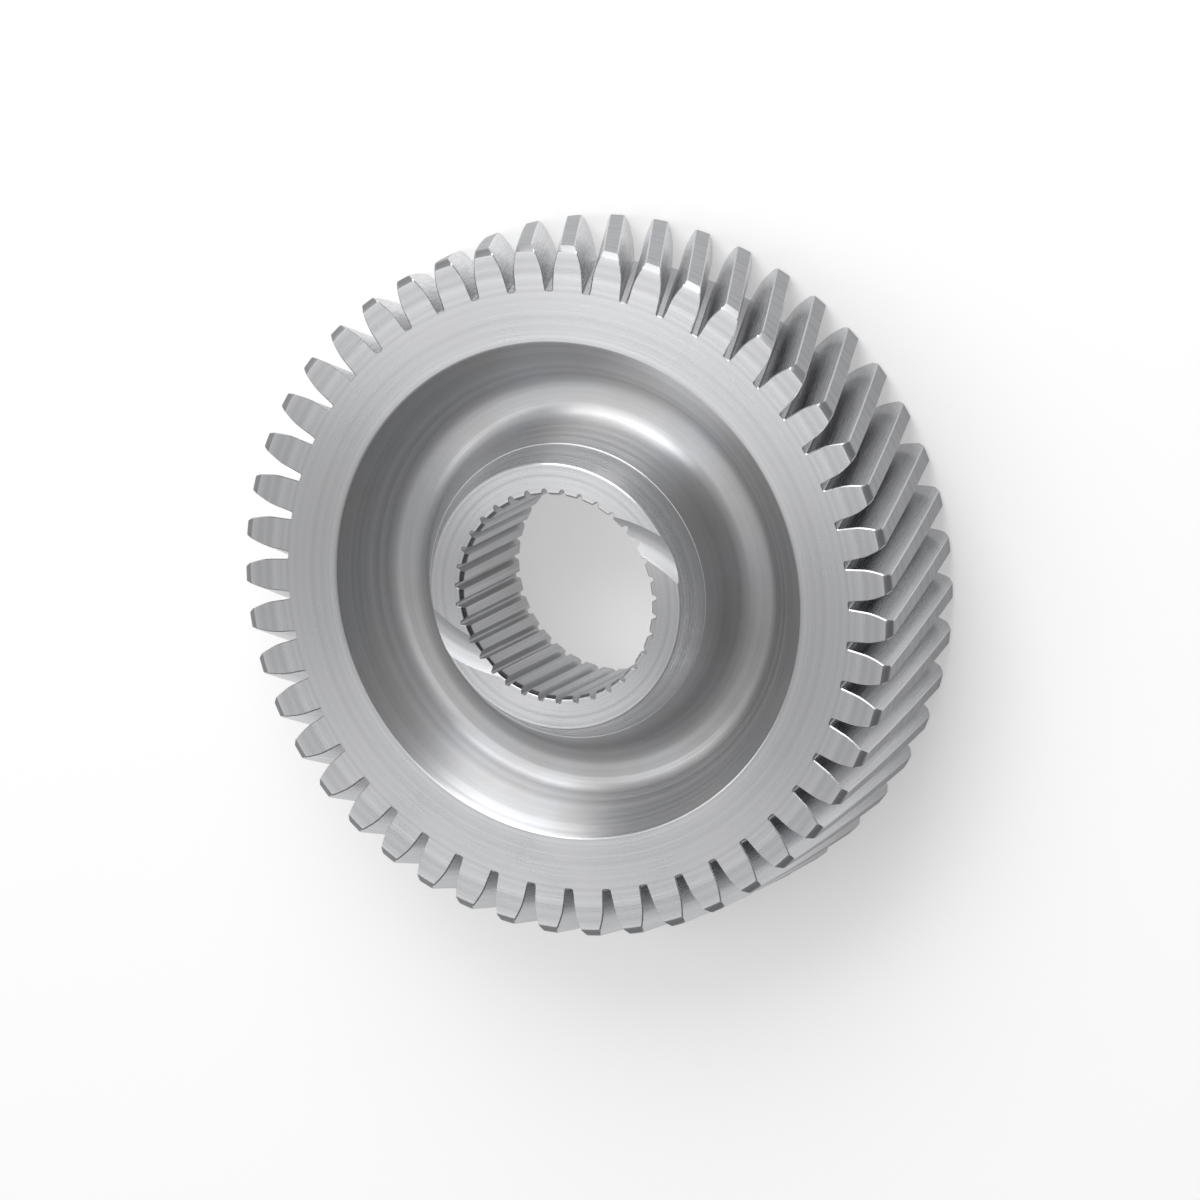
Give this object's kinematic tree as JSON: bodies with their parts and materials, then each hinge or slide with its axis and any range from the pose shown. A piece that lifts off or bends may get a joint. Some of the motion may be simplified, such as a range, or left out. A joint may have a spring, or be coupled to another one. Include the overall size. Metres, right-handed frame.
{
  "type": "helical gear wheel",
  "caption": "Helical gear wheel with a thin recessed web, a conical hub boss, a splined bore and oil grooves across the boss's face.",
  "frame": {"origin": "on the gear's axis, in the plane of the rim's back face", "axes": "+Z along the gear's axis, from the back face towards the boss; +X is the middle line between the two oil grooves"},
  "size_m": [0.1174, 0.1174, 0.0313],
  "materials": {
    "steel": "turned faces and ground teeth"
  },
  "bodies": {
    "root": {"gear_wheel": "steel"}
  },
  "joints": []
}
